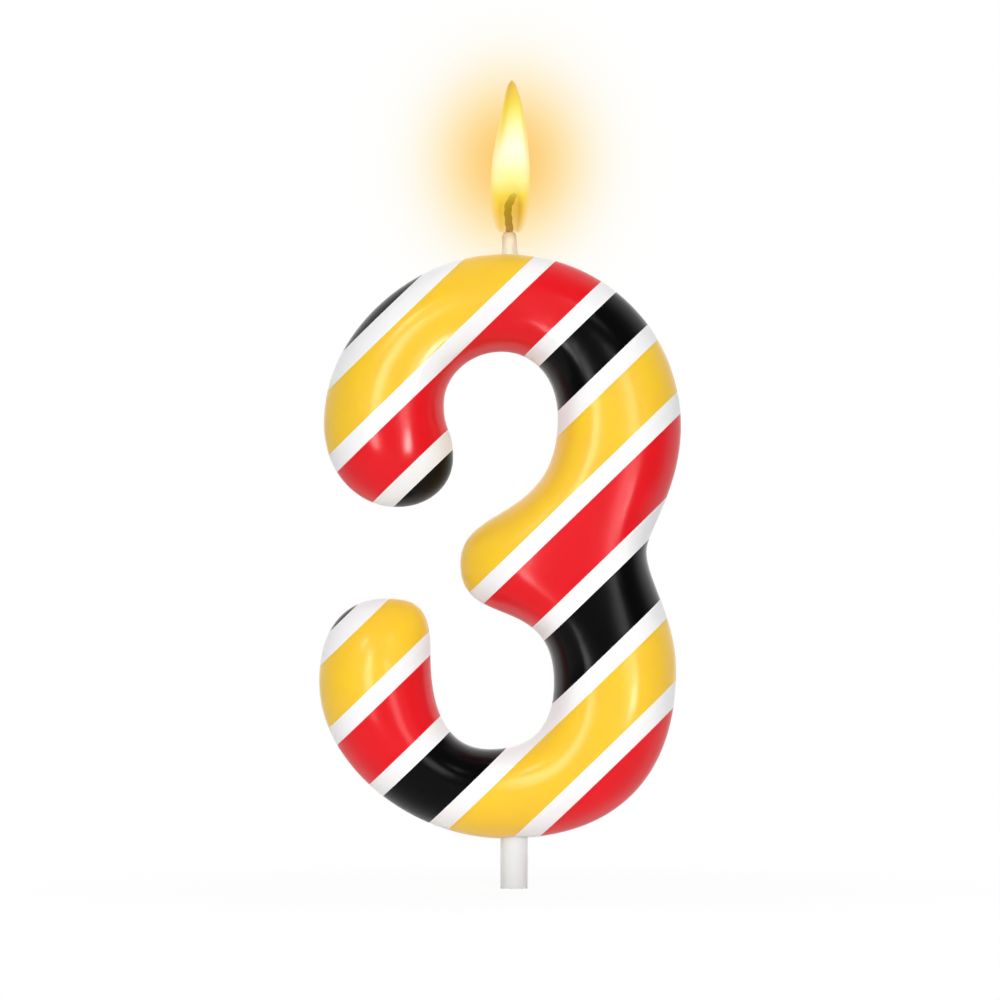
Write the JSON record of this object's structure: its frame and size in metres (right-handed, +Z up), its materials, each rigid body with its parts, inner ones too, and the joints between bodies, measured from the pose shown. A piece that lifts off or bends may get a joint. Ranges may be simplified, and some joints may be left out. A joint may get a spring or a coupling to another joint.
{
  "type": "number candle",
  "caption": "Puffy moulded wax candle in the shape of the digit three, with slanting coloured stripes, a lit wick on top and a hollow stick in its foot.",
  "frame": {"origin": "centre of the stick's lower end, where it goes down into the cake", "axes": "+Z up along the stick, +X to the right of a person who reads the digit, the front faces -Y"},
  "size_m": [0.0464, 0.014, 0.1037],
  "materials": {
    "white_wax": "glossy lacquered white candle wax",
    "yellow_wax": "glossy lacquered yellow candle wax",
    "red_wax": "glossy lacquered red candle wax",
    "black_wax": "glossy lacquered black candle wax",
    "wick_cotton": "braided cotton, charred at the end",
    "wick_wax": "thin white wax on the wick",
    "stick_plastic": "translucent white moulded plastic tube",
    "flame": "glowing candle flame"
  },
  "bodies": {
    "stick": {"stick": "stick_plastic"},
    "candle": {"wax_body": "white_wax", "stripe_1_black": "black_wax", "stripe_2_yellow": "yellow_wax", "stripe_3_red": "red_wax", "stripe_4_black_left": "black_wax", "stripe_4_black_middle": "black_wax", "stripe_4_black_right": "black_wax", "stripe_5_yellow_left": "yellow_wax", "stripe_5_yellow_right": "yellow_wax", "stripe_6_red_left": "red_wax", "stripe_6_red_right": "red_wax", "stripe_7_black_left": "black_wax", "stripe_7_black_right": "black_wax", "stripe_8_yellow": "yellow_wax", "stripe_9_red": "red_wax", "wick": "wick_cotton", "wick_wax_coat": "wick_wax", "flame": "flame"}
  },
  "joints": [
    {"name": "candle_lift", "type": "slide", "parent": "stick", "child": "candle", "axis": [0, 0, 1], "range_m": [0, 0.012]}
  ]
}
